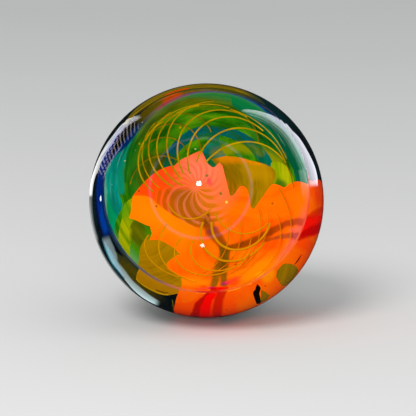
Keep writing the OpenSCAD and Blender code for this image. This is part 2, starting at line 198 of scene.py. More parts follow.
class Glass(Paint):
    """The material of a piece of coloured glass.

    u and v are the face's X and Y in the bowl. On the ball's outside they carry on from the seam, at
    SKIN_SCALE hundredths for each degree round the ball.
    """

    def __init__(self, name):
        self.mat = bpy.data.materials.new(name)
        self.mat.use_nodes = True
        super().__init__(self.mat.node_tree)
        self.place = self.node("ShaderNodeTexCoord", out="Object")
        self.face = self.node("ShaderNodeMapping", {
            "Vector": self.place, "Rotation": (FACE_TILT - math.pi / 2, 0, 0),
            "Scale": (1 / HUNDREDTH,) * 3})
        x, y, z = self.split(self.face)
        length = self.vector("LENGTH", self.face, out="Value")
        angle = self.times(self.math("ARCCOSINE", self.math("DIVIDE", z, length)), TO_DEGREES)
        skin = self.step(length, SKIN_FROM * BALL_R / HUNDREDTH, SKIN_TO * BALL_R / HUNDREDTH)
        r = self.vector("LENGTH", self.join(x, y), out="Value")
        skin_r = self.math("MULTIPLY_ADD", angle, SKIN_SCALE, 100 - SKIN_SCALE * math.degrees(SEAM_ANGLE))
        self.r = self.add(r, self.times(skin, self.math("SUBTRACT", skin_r, r)))
        self.bearing = self.math("ARCTAN2", y, x)
        self.u = self.times(self.r, self.math("COSINE", self.bearing))
        self.v = self.times(self.r, self.math("SINE", self.bearing))
        self.smooth = self.join(self.u, self.v)
        shift = self.node("ShaderNodeTexNoise", {"Vector": self.smooth, "Scale": 0.09, "Detail": 3.0},
                          "Color")
        self.flat = self.node("ShaderNodeVectorMath", {
            0: self.vector("SUBTRACT", shift, (0.5, 0.5, 0.5)), 1: (2 * WOBBLE, 2 * WOBBLE, 0),
            2: self.smooth}, operation="MULTIPLY_ADD")
        self.flat_u, self.flat_v, _ = self.split(self.flat)

    def turn(self):
        """The bearing as a share of a turn, from the left by way of the bottom, with 0.5 at the right."""
        return self.math("MULTIPLY_ADD", self.bearing, 0.5 / math.pi, 0.5)

    def polar(self, centre):
        """Distance and bearing round a point of the face."""
        u, v = self.add(self.flat_u, -centre[0]), self.add(self.flat_v, -centre[1])
        return self.vector("LENGTH", self.join(u, v), out="Value"), self.math("ARCTAN2", v, u)

    def rays(self, centre, twist, across, along, detail=3.0, rough=0.55, seed=0.0):
        """Brush marks that run out from a point, turning by twist radians in a hundred."""
        r, bearing = self.polar(centre)
        bearing = self.math("MULTIPLY_ADD", r, twist / 100, bearing)
        ring = self.join(self.times(self.math("COSINE", bearing), across),
                         self.times(self.math("SINE", bearing), across),
                         self.math("MULTIPLY_ADD", r, along / 100, seed))
        return self.noise(ring, 1.0, detail, rough)

    def rings(self, centre, across, along, detail=3.0, rough=0.55, seed=0.0):
        """Brush marks that run round a point."""
        r, bearing = self.polar(centre)
        ring = self.join(self.times(self.math("COSINE", bearing), along),
                         self.times(self.math("SINE", bearing), along),
                         self.math("MULTIPLY_ADD", r, across / 100, seed))
        return self.noise(ring, 1.0, detail, rough)

    def spot(self, centre, size, soft=0.4, turn=0.0):
        """1 inside an ellipse of half-sizes size, 0 outside it."""
        u, v = self.add(self.flat_u, -centre[0]), self.add(self.flat_v, -centre[1])
        c, s = math.cos(math.radians(turn)), math.sin(math.radians(turn))
        a = self.add(self.times(u, c / size[0]), self.times(v, s / size[0]))
        b = self.add(self.times(u, -s / size[1]), self.times(v, c / size[1]))
        return self.step(self.vector("LENGTH", self.join(a, b), out="Value"), 1 + soft, 1 - soft)

    def stroke(self, *points, soft=0.5):
        """1 along a line through points of (u, v, half its width), falling off at its sides and ends."""
        best = None
        for (u0, v0, w0), (u1, v1, w1) in zip(points, points[1:]):
            du, dv = u1 - u0, v1 - v0
            away = self.vector("SUBTRACT", self.flat, (u0, v0, 0))
            share = (du / (du * du + dv * dv), dv / (du * du + dv * dv), 0)
            t = self.node("ShaderNodeClamp", (self.dot(away, share),))
            near = self.node("ShaderNodeVectorMath", {0: self.join(t, t), 1: (-du, -dv, 0), 2: away},
                             operation="MULTIPLY_ADD")
            d = self.math("DIVIDE", self.vector("LENGTH", near, out="Value"),
                          self.math("MULTIPLY_ADD", t, w1 - w0, w0))
            best = d if best is None else self.math("MINIMUM", best, d)
        return self.step(best, 1 + soft, 1 - soft)

    def side(self, points, soft):
        """1 above a curve of v over u, 0 below it."""
        low, high = min(p[1] for p in points) - 1, max(p[1] for p in points) + 1
        line = self.curve(self.flat_u, points, low, high)
        return self.step(self.math("SUBTRACT", self.flat_v, line), -soft, soft)

    def over(self, colour, share, paint, strength=1.0):
        """Lays paint on a colour."""
        return self.mix(self.times(share, strength), colour, paint)

    def finish(self, colour, shine=True):
        """Ends the material. Where shine is set, the part of the glass at the ball's surface is polished."""
        outside = None
        if shine:
            outside = self.math("GREATER_THAN", self.vector("LENGTH", self.place, out="Value"),
                                BALL_R * POLISHED)
        shader = self.node("ShaderNodeBsdfPrincipled", {
            "Base Color": colour, "Roughness": 0.9, "Specular IOR Level": 0.0,
            "Coat Weight": outside, "Coat Roughness": 0.0, "Coat IOR": GLASS_IOR})
        self.node("ShaderNodeOutputMaterial", (shader,))
        return self.mat


def set_material(node, material):
    piece = frame["nodes"][node]
    piece.data.materials.clear()
    piece.data.materials.append(material)


# Colours of the bowl

def flecks(g, base, colour=(230, 230, 180)):
    """Rare tiny specks in the glass."""
    n = g.noise(g.face, 0.35, 1)
    return g.mix(g.times(g.step(n, 0.79, 0.82), 0.6), base, colour)


def specks(g, colour, paint, *places):
    """Tiny bubbles and grains, each at its own place."""
    found = None
    for place in places:
        d = g.vector("LENGTH", g.vector("SUBTRACT", g.smooth, (*place, 0)), out="Value")
        found = d if found is None else g.math("MINIMUM", found, d)
    return g.over(colour, g.step(found, 1.0, 0.5), paint, 0.8)


def seam_band(g, colour):
    """Blue glass and a painted reflection of violet and blue along the seam's ring, just inside the seam, and
    the skin's colours beyond it.
    """
    degrees = g.times(g.bearing, TO_DEGREES)
    line = g.curve(degrees, ((20, 78), (52, 82), (62, 85), (73, 86.7), (83, 85.6), (97, 82.6), (112, 78),
                             (123, 74), (132, 71), (146, 71), (152, 75), (163, 85), (172, 97)), 60, 100)
    stray = g.add(g.noise(g.smooth, 0.08, 3), -0.5)
    past = g.math("SUBTRACT", g.math("MULTIPLY_ADD", stray, 3.0, g.r), line)
    here = g.times(g.step(degrees, 36, 48), g.step(degrees, 179, 172))
    place = g.times(degrees, 1 / 180)
    beyond = g.ramp(place, (
        (0.22, (2, 22, 24)), (0.33, (0, 54, 54)), (0.38, (56, 70, 20)), (0.45, (112, 96, 6)),
        (0.565, (120, 94, 0)), (0.585, (206, 80, 0)), (0.63, (190, 78, 0)), (0.645, (104, 92, 0)),
        (0.71, (84, 76, 0)), (0.745, (14, 16, 12)), (0.9, (5, 9, 14)), (0.96, (0, 24, 80))))
    marks = g.rings((0, 0), 40.0, 2.0, 3.0, 0.6)
    beyond = g.over(beyond, g.step(marks, 0.5, 0.3), (20, 20, 0), 0.3)
    # Painted reflection: the violet, blue and magenta ring that the seam shows, laid as a band along it
    tint = g.ramp(place, (
        (0.26, (0, 40, 112)), (0.34, (0, 66, 158)), (0.40, (30, 76, 140)), (0.46, (88, 84, 134)),
        (0.54, (108, 74, 130)), (0.59, (160, 60, 104)), (0.64, (166, 48, 84)), (0.67, (110, 96, 80)),
        (0.72, (50, 56, 70)), (0.75, (0, 30, 90)), (0.95, (0, 40, 116))))
    haze = g.times(g.times(g.step(past, -10, -2), here), g.step(degrees, 150, 110))
    colour = g.over(colour, haze, (86, 156, 96), 0.4)
    colour = g.over(colour, g.times(g.step(past, -0.5, 2.5), here), beyond)
    blue = g.times(g.band(past, -1, 4, 2), g.times(g.step(degrees, 130, 138), here))
    colour = g.over(colour, blue, (0, 34, 112), 0.9)
    # The painted reflection of the seam's ring goes on here
    colour = g.over(colour, g.times(g.band(past, -2.6, 1.8, 1.4), here), tint, 0.9)
    skin = g.ramp(g.turn(), (
        (0.0, (0, 26, 90)), (0.06, (0, 40, 80)), (0.11, (40, 50, 30)), (0.5, (6, 20, 22)),
        (0.66, (2, 40, 44)), (0.7, (60, 60, 0)), (0.85, (60, 56, 0)), (0.88, (6, 10, 16)),
        (0.95, (0, 26, 90))))
    return g.over(colour, g.step(g.r, 99.8, 100.8), skin)


def green_ground():
    """Brushed green, with olive at the top, deep green at the right and brown where it is thin."""
    g = Glass("green_glass")
    broad = g.rings(SWIRL, 9.0, 1.1, 3.0, 0.6)
    fine = g.rings(SWIRL, 30.0, 1.8, 4.0, 0.65, 7.0)
    marks = g.math("MULTIPLY_ADD", g.add(g.times(broad, 0.55), g.times(fine, 0.45)), 2.6, -0.8)
    colour = g.ramp(marks, (
        (0.0, (10, 56, 0)), (0.3, (26, 92, 2)), (0.5, (48, 122, 4)), (0.72, (74, 142, 4)),
        (1.0, (110, 158, 10))))
    olive = g.ramp(marks, ((0.0, (60, 66, 0)), (0.5, (96, 104, 0)), (1.0, (140, 146, 0))))
    deep = g.ramp(marks, ((0.0, (0, 62, 16)), (0.5, (0, 90, 26)), (1.0, (20, 124, 40))))
    brown = g.ramp(marks, ((0.0, (48, 50, 0)), (0.5, (74, 76, 0)), (1.0, (104, 98, 4))))
    colour = g.over(colour, g.spot((-40, 64), (26, 12), 0.7, 40), olive, 0.9)
    colour = g.over(colour, g.spot((-2, 69), (30, 6), 0.8), olive, 0.8)
    colour = g.over(colour, g.spot((48, 46), (22, 16), 0.6, -50), deep, 0.9)
    colour = g.over(colour, g.spot((28, 60), (18, 6), 0.7, -25), deep, 0.6)
    colour = g.over(colour, g.spot((-34, 22), (16, 9), 0.6, 35), brown, 0.85)
    colour = g.over(colour, g.stroke((5, 33, 2.5), (20, 36.5, 3), (35, 34, 3), (48, 26, 4), soft=0.8),
                    (130, 132, 0), 0.85)
    colour = g.over(colour, g.spot((10, 76), (28, 5), 0.7, -8), (16, 132, 66), 0.7)
    colour = g.over(colour, g.spot((-50, 30), (6, 24), 0.5, 8), (4, 98, 20), 0.7)
    colour = g.over(colour, g.spot((-48, -22), (9, 14), 0.5, 10), brown, 0.9)
    colour = g.over(colour, g.spot((-57, -44), (9, 14), 0.5, -30), (54, 128, 8), 0.85)
    colour = g.over(colour, g.stroke((-56, -20, 4), (-64, -36, 5), (-80, -58, 7)), (146, 152, 0), 0.85)
    colour = g.over(colour, g.spot((-82, -30), (12, 22), 0.5, 10), (0, 132, 40), 0.85)
    colour = g.over(colour, g.stroke((-48, 54, 3), (-58, 38, 4), (-61, 22, 4), (-59, 8, 3.4)),
                    (0, 140, 112), 0.85)
    colour = g.over(colour, g.stroke((-50, 46, 1), (-54, 32, 1.4), (-55, 14, 1.2)), (0, 88, 24), 0.7)
    # Painted reflection: pale grey-green laid over the green at the lower left, just inside the seam
    low_painted_reflection = g.times(g.step(g.r, 62, 73), g.times(g.step(g.u, -30, -46), g.step(g.v, -24, -40)))
    colour = g.over(colour, low_painted_reflection, (112, 164, 110), 0.4)
    colour = specks(g, colour, (196, 160, 0), (-45, 39), (-17, 49), (3, 47), (-56, -33), (-64, 4))
    return g.finish(flecks(g, seam_band(g, colour)))


def teal_arc():
    """Teal round the eye, bluer at its left, with green brushed through it."""
    g = Glass("teal_glass")
    fine = g.rings(SWIRL, 26.0, 1.6, 4.0, 0.6)
    colour = g.ramp(fine, ((0.34, (0, 80, 46)), (0.5, (0, 96, 78)), (0.66, (6, 98, 104))))
    colour = g.over(colour, g.spot((-21, 32), (7, 14), 0.6), (2, 80, 110), 0.65)
    colour = g.over(colour, g.stroke((-10, 45, 3), (8, 48, 3), (28, 43, 3)), (0, 80, 112), 0.45)
    colour = g.over(colour, g.spot((0, 40), (10, 4), 0.6), (30, 118, 70), 0.7)
    colour = g.over(colour, g.stroke((5, 33, 2.5), (20, 36.5, 3), (35, 34, 3), soft=0.8),
                    (112, 120, 0), 0.6)
    broad = g.rings(SWIRL, 12.0, 1.4, 3.0, 0.6, 4.0)
    colour = g.over(colour, g.step(broad, 0.46, 0.58), (20, 92, 20), 0.75)
    return g.finish(colour, shine=False)


def side_teal(g, dark, light, lines, seed):
    """Teal glass with fine brush marks, at the sides of the bowl."""
    broad = g.rings((0, 10), 7.0, 1.2, 3.0, 0.6, seed)
    fine = g.rings((0, 10), 34.0, 1.6, 4.0, 0.65, seed)
    colour = g.mix(g.step(broad, 0.36, 0.64), dark, light)
    colour = g.over(colour, g.step(fine, 0.54, 0.68), lines, 0.7)
    return g.over(colour, g.step(fine, 0.42, 0.3), (150, 200, 190), 0.35)


def left_teal():
    g = Glass("turquoise_glass")
    colour = side_teal(g, (0, 124, 110), (0, 164, 146), (20, 118, 60), 1.0)
    colour = g.over(colour, g.stroke((-55, 44, 2), (-57, 28, 3), (-54, 8, 3)), (0, 92, 24), 0.8)
    colour = g.over(colour, g.spot((-72, -12), (10, 14), 0.6, 30), (0, 138, 70), 0.8)
    colour = g.over(colour, g.spot((-86, -28), (12, 26), 0.6, 10), (0, 136, 60), 0.7)
    colour = g.over(colour, g.spot((-66, -4), (5, 9), 0.5, 30), (0, 92, 90), 0.6)
    colour = g.over(colour, g.stroke((-84, 14, 2), (-80, 4, 3), (-82, -14, 2)), (120, 180, 160), 0.6)
    return g.finish(flecks(g, seam_band(g, colour), (190, 240, 230)))


def right_teal():
    g = Glass("teal_green_glass")
    colour = side_teal(g, (0, 80, 50), (0, 112, 76), (20, 130, 60), 5.0)
    colour = g.over(colour, g.spot((26, 72), (18, 9), 0.6, -20), (10, 130, 64), 0.8)
    return g.finish(flecks(g, seam_band(g, colour), (190, 240, 230)))


def lime():
    g = Glass("lime_glass")
    fine = g.rings(SWIRL, 24.0, 1.6, 3.0, 0.6)
    colour = g.ramp(fine, ((0.34, (96, 124, 0)), (0.5, (132, 152, 0)), (0.66, (160, 164, 4))))
    colour = g.over(colour, g.spot((49, 11), (6, 4), 0.5, -30), (0, 84, 10), 0.8)
    return g.finish(g.over(colour, g.spot((-58, -4), (6, 8), 0.5, 20), (60, 140, 10), 0.7))


# The orange glass, one painting that runs on from piece to piece

def eye_twist(g):
    """Distance from the eye and the bearing round it, less the turn that the curled stripes make."""
    r, bearing = g.polar(EYE)
    reach = g.math("MAXIMUM", g.add(r, -3), 0)
    turn = g.times(g.times(reach, reach), EYE_TWIST)
    return r, g.math("SUBTRACT", bearing, turn)


def near_eye(g, colour):
    """Pink glass and curls round the eye, and the amber whorl at its lower left."""
    r, turned = eye_twist(g)
    colour = g.over(colour, g.spot((-1, 15), (17, 15), 0.6), (255, 103, 44), 0.8)
    colour = g.over(colour, g.spot((-4, 24), (14, 8), 0.5, -15), (255, 122, 88), 0.8)
    colour = g.over(colour, g.spot((6, 10), (11, 13), 0.6, -20), (255, 106, 64), 0.5)
    colour = g.over(colour, g.spot((2, 15), (1.5, 3), 0.5, 15), (255, 44, 70), 0.8)
    wave = g.math("SINE", g.math("MULTIPLY_ADD", turned, WHORL_STRIPES, 1.2))
    thin = g.math("SINE", g.math("MULTIPLY_ADD", turned, EYE_CURLS, 0.4))
    curls = g.times(g.step(r, 20, 12), g.step(r, 1.5, 5))
    colour = g.over(colour, g.times(curls, g.step(thin, -0.2, 0.8)), (200, 84, 56), 0.5)
    colour = g.over(colour, g.times(curls, g.step(thin, 0.0, -0.9)), (255, 140, 108), 0.15)
    # The whorl: amber stripes with pinkish grey between them
    inside = g.times(g.side(((-36, 3.5), (-30, 0), (-23, -5), (-16, -9), (-8, -13), (2, -20)), 1.0),
                     g.side(((-36, -9), (-30, -10), (-20, -11.5), (-10, -13.5), (0, -12), (14, -8)), 2.0))
    above = g.side(((-36, 9.5), (-25, 10.5), (-14, 11), (-7, 11), (2, 14)), 2.8)
    inside = g.times(inside, g.step(above, 1.0, 0.0))
    right = g.math("MULTIPLY_ADD", g.flat_v, 0.5, g.flat_u)
    inside = g.times(inside, g.times(g.step(g.flat_u, -36, -31), g.step(right, 13, 4)))
    amber_share = g.step(g.flat_u, -33, -17)
    stripes = g.mix(g.step(wave, -0.2, 0.8), (146, 82, 0), (184, 100, 54))
    stripes = g.over(stripes, g.step(thin, 0.2, 0.9), (146, 78, 12), 0.5)
    stripes = g.over(g.mix(g.step(wave, -0.3, 0.6), (196, 78, 0), (246, 82, 10)), amber_share, stripes)
    golden = g.mix(g.step(wave, -0.3, 0.7), (192, 104, 4), (236, 112, 56))
    stripes = g.over(stripes, g.step(right, -9, 2), golden, 0.8)
    colour = g.over(colour, inside, stripes, 0.92)
    colour = g.over(colour, g.step(r, 4, 1), (236, 110, 74), 0.5)
    # Three green grains
    grains = g.math("MAXIMUM", g.spot((0.5, 19), (1.0, 0.8)), g.spot((9, 8), (1.2, 0.9)))
    grains = g.math("MAXIMUM", grains, g.spot((16, 7), (1.0, 0.8)))
    return g.over(colour, grains, (60, 96, 40), 0.8)


def left_fields(g, colour):
    """Bright orange at the left, redder above it."""
    above = g.side(((-60, 8), (-45, 5), (-38, 5), (-25, -3), (-12, -10), (4, -18)), 0.8)
    left = g.step(g.flat_u, 2, -10)
    bright = g.times(g.times(g.step(above, 1.0, 0.0), left), g.step(g.flat_v, -34, -4))
    colour = g.over(colour, bright, (255, 128, 0), 0.85)
    colour = g.over(colour, g.times(above, g.spot((-30, 13), (24, 13), 0.5, 25)), (255, 70, 4), 0.9)
    colour = g.over(colour, g.spot((-30, 17), (10, 4), 0.6, 20), (255, 76, 26), 0.6)
    colour = g.over(colour, g.spot((-14, -60), (16, 7), 0.6), (255, 128, 0), 0.8)
    return g.over(colour, g.spot((-25, -84), (4, 16), 0.6, 8), (255, 112, 40), 0.7)


def red_skin(g, colour):
    """Redder orange on the outside, at the bottom and on the right."""
    low = g.side(((-60, -108), (-34, -112), (-20, -112), (0, -102), (14, -104), (40, -140)), 1.4)
    low = g.step(low, 1, 0)
    colour = g.over(colour, g.times(low, g.step(g.flat_u, 34, 30)), (255, 76, 0), 0.9)
    colour = g.over(colour, g.times(low, g.step(g.flat_v, -116, -134)), (255, 56, 0), 0.6)
    colour = g.over(colour, g.spot((24, -118), (8, 20), 0.4, 6), (255, 80, 0), 0.8)
    colour = g.over(colour, g.spot((52, -112), (18, 12), 0.5, 30), (255, 110, 0), 0.7)
    colour = g.over(colour, g.spot((100, -52), (22, 7), 0.5, -14), (255, 66, 0), 0.85)
    streaks = g.rings((0, 0), 40.0, 2.0, 3.0, 0.6, 9.0)
    edge = g.times(g.step(g.r, 104, 114), g.step(g.flat_v, -24, 0))
    colour = g.over(colour, edge, g.mix(g.step(streaks, 0.4, 0.6), (255, 60, 0), (236, 18, 0)), 0.9)
    return g.over(colour, g.times(g.step(g.r, 104, 114), g.spot((118, 8), (8, 14), 0.5)), (255, 84, 20), 0.5)


def lower_fields(g, colour):
    """Fields and lines of other oranges below and at the right."""
    colour = g.over(colour, g.spot((42, -56), (26, 16), 0.6, -40), (255, 128, 0), 0.8)
    colour = g.over(colour, g.stroke((40, -58, 3), (60, -84, 7)), (255, 146, 0), 0.8)
    colour = g.over(colour, g.spot((20, -62), (5, 6), 0.6, 30), (255, 60, 10), 0.85)
    colour = g.over(colour, g.stroke((20, -68, 2), (24, -98, 5)), (255, 84, 0), 0.7)
    colour = g.over(colour, g.stroke((33, -75, 1.5), (37, -98, 3)), (255, 92, 0), 0.6)
    colour = g.over(colour, g.spot((47, -30), (10, 5), 0.6), (255, 70, 0), 0.7)
    colour = g.over(colour, g.stroke((-2, -66, 2), (0, -98, 6)), (255, 70, 0), 0.8)
    # Pink glass inside the seam on the right
    pink = g.times(g.step(g.r, 66, 72), g.step(g.r, 103, 99))
    pink = g.times(pink, g.spot((84, -38), (26, 30), 0.4, -30))
    colour = g.over(colour, pink, (255, 100, 72), 0.95)
    colour = g.over(colour, g.stroke((97, -28, 1.6), (90, -46, 1.8), (78, -62, 1.6), (58, -83, 1.2),
                                     (40, -93, 0.8)), (255, 150, 96), 0.8)
    colour = g.over(colour, g.stroke((90, -73, 0.5), (94, -69, 1.1), (97, -63, 0.4)), (60, 8, 0), 0.9)
    return g.over(colour, g.stroke((-10, -101, 0.7), (5, -102, 0.8), (22, -99.5, 0.8), (44, -92, 0.7)),
                  (255, 176, 30), 0.8)


def eye_vein_paint(g, colour):
    """The brown vein that runs down from the eye."""
    brown = g.mix(g.rays(EYE, 0.0, 12.0, 0.6, 3.0), (92, 42, 0), (140, 72, 8))
    vein = g.stroke((1, -6, 1.6), (0, -11, 3.4), (4, -17, 4.2), (8, -22, 3.6), (13, -30, 2.8))
    colour = g.over(colour, vein, brown, 0.85)
    colour = g.over(colour, g.stroke((-4, 5, 0.8), (-1, -5, 1.0), (4, -13, 1.0)), (196, 106, 40), 0.45)
    return g.over(colour, g.spot((4, -15.5), (4, 1.8), 0.6, 20), (130, 44, 66), 0.55)


def right_vein_paint(g, colour):
    """The two veins at the right, and the reds that they turn to on the skin."""
    inside = g.step(g.r, 103, 98)
    along = g.times(g.flat_u, 0.01)
    upper = g.stroke((12, -29, 2), (25, -26.5, 3), (36, -22.5, 3.2), (46, -18.5, 3), (57, -16, 2.8),
                     (68, -17, 3), (84, -24, 4), (99, -33, 4), soft=0.6)
    colour = g.over(colour, upper, g.ramp(along, (
        (0.15, (112, 56, 0)), (0.45, (136, 52, 0)), (0.6, (160, 54, 16)), (0.8, (184, 64, 44)))), 0.9)
    lower = g.stroke((40, -25.5, 1.4), (52, -25, 1.8), (64, -27.5, 3), (78, -35, 4.4), (91, -46, 4.4),
                     soft=0.6)
    colour = g.over(colour, g.times(lower, inside), g.ramp(along, (
        (0.4, (160, 70, 0)), (0.6, (150, 62, 34)), (0.75, (164, 66, 80)))), 0.85)
    between = g.times(g.stroke((60, -21.5, 1.2), (75, -26, 3), (95, -38, 4)), inside)
    colour = g.over(colour, between, (255, 96, 76), 0.7)
    skin = g.step(g.r, 98.5, 101)
    bright = g.stroke((92, -38, 8), (108, -34, 10), (130, -28, 11), soft=0.2)
    colour = g.over(colour, g.times(bright, skin), (255, 6, 0), 0.95)
    dark = g.stroke((89, -47, 3), (104, -40, 4.4), (118, -35, 5), (130, -32, 5))
    colour = g.over(colour, g.times(dark, skin), (196, 0, 0), 0.9)
    upper_dark = g.stroke((97, -28, 2), (108, -22, 3), (120, -16, 3.4), (130, -12, 3))
    return g.over(colour, g.times(upper_dark, skin), (220, 20, 0), 0.8)


def lower_vein_paint(g, colour):
    """The two veins at the bottom, and the reds that they turn to below the seam."""
    brown = g.mix(g.rays(EYE, 0.0, 30.0, 0.6, 3.0), (88, 64, 0), (126, 90, 6))
    left = g.stroke((12, -28, 3), (11, -38, 4), (8, -46, 3.4), (6, -56, 2.8), (5.5, -64, 3))
    right = g.stroke((12, -30, 3), (12, -40, 3), (12, -50, 2.4), (12.5, -58, 2.8), (13, -64, 3))
    colour = g.over(colour, left, brown, 0.9)
    colour = g.over(colour, right, brown, 0.9)
    colour = g.over(colour, g.spot((14, -62), (3.6, 2.4), 0.5, 30), (170, 0, 80), 0.8)
    colour = g.over(colour, g.spot((4, -68.5), (3.6, 2), 0.5), (176, 0, 84), 0.8)
    colour = g.over(colour, g.spot((-4, -70), (5, 1.6), 0.6), (250, 60, 40), 0.5)
    colour = g.over(colour, g.stroke((15, -61, 1.6), (25, -56.5, 1.2)), (255, 56, 30), 0.55)
    below = g.step(g.v, -65, -69)
    middle = g.stroke((10, -64, 2.4), (10.5, -80, 3), (11, -100, 3.4))
    colour = g.over(colour, g.times(middle, below), (240, 0, 0))
    left = g.stroke((5.5, -64, 2.6), (5.5, -80, 2.8), (5, -101, 3), (-8, -114, 4), (-14, -140, 6), soft=0.3)
    colour = g.over(colour, g.times(left, below), (186, 0, 0), 0.95)
    right = g.stroke((14, -66, 2), (15.5, -80, 3), (17, -100, 3), (12, -108, 4.6), (11, -122, 5.6),
                     (12, -140, 6), soft=0.4)
    colour = g.over(colour, g.times(right, below), (206, 8, 0), 0.9)
    bright = g.stroke((9, -101, 2.4), (2, -108, 4), (-1, -120, 5.4), (-2, -140, 6), soft=0.3)
    return g.over(colour, g.times(bright, g.step(g.v, -100, -103)), (255, 4, 0))


def orange_glass(name, *paints):
    """Orange glass with the paints that show on one piece of it."""
    g = Glass(name)
    marks = g.rays(EYE, -0.5, 4.0, 2.5, 4.0, 0.55, 2.0)
    fine = g.rays(EYE, -0.5, 16.0, 2.0, 3.0, 0.6, 5.0)
    marks = g.add(marks, g.times(g.add(fine, -0.5), 0.5))
    colour = g.mix(g.step(marks, 0.36, 0.62), (255, 84, 0), (255, 100, 0))
    colour = g.over(colour, g.step(g.noise(g.smooth, 0.02, 2), 0.45, 0.7), (255, 112, 0), 0.7)
    for paint in paints:
        colour = paint(g, colour)
    colour = specks(g, colour, (120, 50, 0), (-32, -1), (-44, 8), (43, 0), (20, -43), (21, -122), (59, -95))
    colour = specks(g, colour, (255, 214, 60), (12.5, 2.5), (30, -36))
    return g.finish(colour)


def amber(g, marks, fine):
    """Amber glass with darker brush marks."""
    return g.ramp(g.add(g.times(marks, 0.6), g.times(fine, 0.4)), (
        (0.34, (98, 76, 0)), (0.46, (126, 98, 0)), (0.56, (150, 112, 0)), (0.7, (170, 116, 0))))


def upper_amber():
    g = Glass("upper_amber_glass")
    fine = g.rings(EYE, 44.0, 1.6, 3.0, 0.6, 4.0)
    colour = amber(g, g.rings(EYE, 12.0, 1.2, 4.0, 0.62), fine)
    colour = g.over(colour, g.spot((14, 15), (6, 12), 0.6, 10), (100, 74, 0), 0.7)
    colour = g.over(colour, g.spot((33, 22), (11, 6), 0.6, -30), (176, 132, 0), 0.6)
    colour = g.over(colour, g.stroke((10, 30, 3), (22, 29.5, 2.4), (34, 26, 1.6), soft=0.8),
                    (216, 122, 0), 0.65)
    return g.finish(g.over(colour, g.step(fine, 0.54, 0.66), (176, 84, 0), 0.6))


def outward_amber(g):
    """Amber glass with brush marks that run out from the eye."""
    return amber(g, g.rays(EYE, 0.8, 7.0, 1.2, 4.0, 0.62), g.rays(EYE, 0.8, 26.0, 1.0, 3.0, 0.6, 4.0))


def lower_amber():
    g = Glass("lower_amber_glass")
    colour = g.over(outward_amber(g), g.spot((-50, -74), (20, 12), 0.6, -30), (148, 132, 0), 0.8)
    colour = g.over(colour, g.step(g.r, 97, 102), (178, 112, 0), 0.8)
    colour = g.mix(0.4, colour, (164, 118, 0))
    colour = g.over(colour, g.band(g.r, 99.4, 102.2, 0.8), (156, 96, 84), 0.75)
    # A yellow line at the lower edge, and a dark one inside it
    line = g.stroke((-71.5, -86.5, 0.6), (-68, -92, 0.7), (-58, -98, 0.7), (-47, -102.6, 0.7),
                    (-38, -104, 0.6))
    colour = g.over(colour, line, (196, 152, 0), 0.8)
    line = g.stroke((-50, -99, 0.6), (-42, -102, 0.9), (-38, -102, 0.5))
    return g.finish(g.over(colour, line, (40, 20, 0), 0.7))


def amber_spot():
    g = Glass("spot_glass")
    return g.finish(outward_amber(g))


def rim():
    """The thin line of glass at the seam itself."""
    g = Glass("violet_glass")
    colour = g.ramp(g.turn(), (
        (0.0, (0, 40, 76)), (0.1, (24, 60, 84)), (0.139, (64, 84, 90)), (0.18, (140, 96, 84)),
        (0.225, (246, 110, 10)), (0.24, (222, 30, 0)), (0.27, (222, 30, 0)), (0.285, (255, 92, 0)),
        (0.333, (255, 116, 8)), (0.39, (255, 116, 44)), (0.444, (255, 84, 50)), (0.5, (255, 92, 14)),
        (0.53, (6, 30, 40)), (0.66, (0, 36, 80)), (0.7, (60, 66, 20)), (0.79, (86, 76, 20)),
        (0.8, (190, 70, 20)), (0.83, (86, 80, 6)), (0.86, (6, 10, 20)), (0.93, (0, 30, 76)),
        (1.0, (0, 40, 76))))
    n = g.noise(g.face, 0.06, 3)
    return g.finish(g.mix(g.times(g.step(n, 0.4, 0.7), 0.15), colour, (150, 110, 130)))


def olive_band():
    g = Glass("olive_glass")
    fine = g.rings((0, 0), 40.0, 2.0, 4.0, 0.6)
    colour = g.mix(g.step(fine, 0.4, 0.6), (100, 84, 0), (134, 110, 0))
    colour = g.over(colour, g.step(g.u, 34, 50), (24, 50, 30), 0.8)
    return g.finish(g.over(colour, g.step(g.r, 117, 122), (20, 64, 40), 0.8))


def plain(name, dark, light):
    g = Glass(name)
    n = g.noise(g.face, 0.05, 4, 0.6, 0.4)
    return g.finish(g.mix(g.step(n, 0.38, 0.62), dark, light))


def blue_edge():
    """Blue at the seam that goes to black further out."""
    g = Glass("navy_glass")
    fine = g.rings((0, 0), 50.0, 1.0, 3.0, 0.6)
    colour = g.mix(g.step(fine, 0.4, 0.62), (0, 22, 84), (0, 44, 130))
    colour = g.over(colour, g.spot((-100, -24), (6, 26), 0.5, -8), (0, 60, 150), 0.7)
    dark = g.math("MAXIMUM", g.step(g.r, 107, 116), g.step(g.v, -38, -48))
    return g.finish(g.over(colour, dark, (3, 6, 8)))


def dark_glass():
    g = Glass("dark_glass")
    n = g.noise(g.face, 0.02, 4, 0.6, 0.8)
    colour = g.mix(g.step(n, 0.4, 0.7), (4, 12, 14), (4, 30, 32))
    colour = g.over(colour, g.spot((62, 86), (30, 16), 0.6, -40), (0, 46, 46), 0.6)
    # Olive glass at the lower left, with a yellow line at the edge of the black patch
    olive = g.times(g.step(g.r, 101, 104), g.spot((-74, -88), (30, 14), 0.5, -42))
    colour = g.over(colour, olive, (74, 64, 0), 0.9)
    colour = g.over(colour, g.stroke((-34.6, -110, 0.5), (-35.4, -120, 0.6), (-37, -133, 0.6)),
                    (120, 100, 0), 0.8)
    colour = g.over(colour, g.stroke((-48, -134, 2), (-80, -118, 2), (-100, -100, 2)), (96, 80, 0), 0.7)
    black = g.times(g.spot((50, -106), (14, 18), 0.4, -30), g.step(g.r, 100, 101))
    return g.finish(g.over(colour, black, (10, 4, 2)))


def thread(name, base, pale, low):
    """Yellow glass that goes to another colour in the lower half."""
    g = Glass(name)
    n = g.noise(g.face, 0.08, 3)
    colour = g.mix(g.step(n, 0.4, 0.65), base, pale)
    return g.finish(g.over(colour, g.step(g.v, 16, -4), low, 0.8), shine=False)


